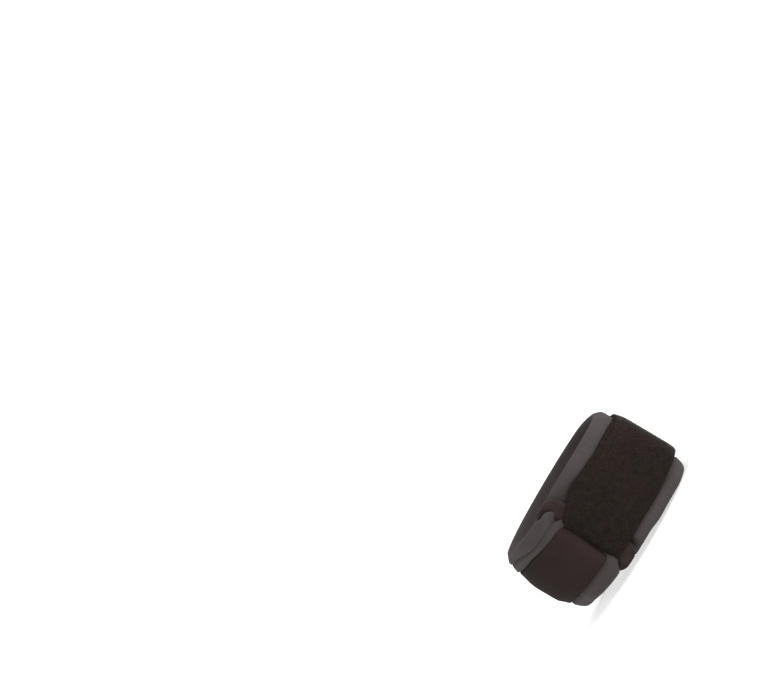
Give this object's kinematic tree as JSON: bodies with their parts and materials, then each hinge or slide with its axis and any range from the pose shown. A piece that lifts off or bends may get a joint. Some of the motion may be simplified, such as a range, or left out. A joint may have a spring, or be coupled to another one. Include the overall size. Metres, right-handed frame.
{
  "type": "tennis elbow brace",
  "caption": "Padded forearm band closed into an open oval cuff by a brushed strap that runs through a rectangular ring and doubles back on itself.",
  "frame": {"origin": "middle of the footprint, on the surface that the elbow-side rim stands on", "axes": "+Z along the forearm from the elbow towards the hand, -Y on the side of the ring, +X at the side that the flap runs over"},
  "size_m": [0.0908, 0.096, 0.0508],
  "materials": {
    "foam_fabric": "fine grey knit over foam, matte",
    "smooth_strap": "smooth black knit, low sheen",
    "brushed_strap": "brushed black loop pile, matte",
    "ring_plastic": "moulded black plastic, satin"
  },
  "bodies": {
    "root": {"foam_band": "foam_fabric", "lower_strap": "smooth_strap", "closure_strap": "brushed_strap", "ring_loop": "ring_plastic"}
  },
  "joints": []
}
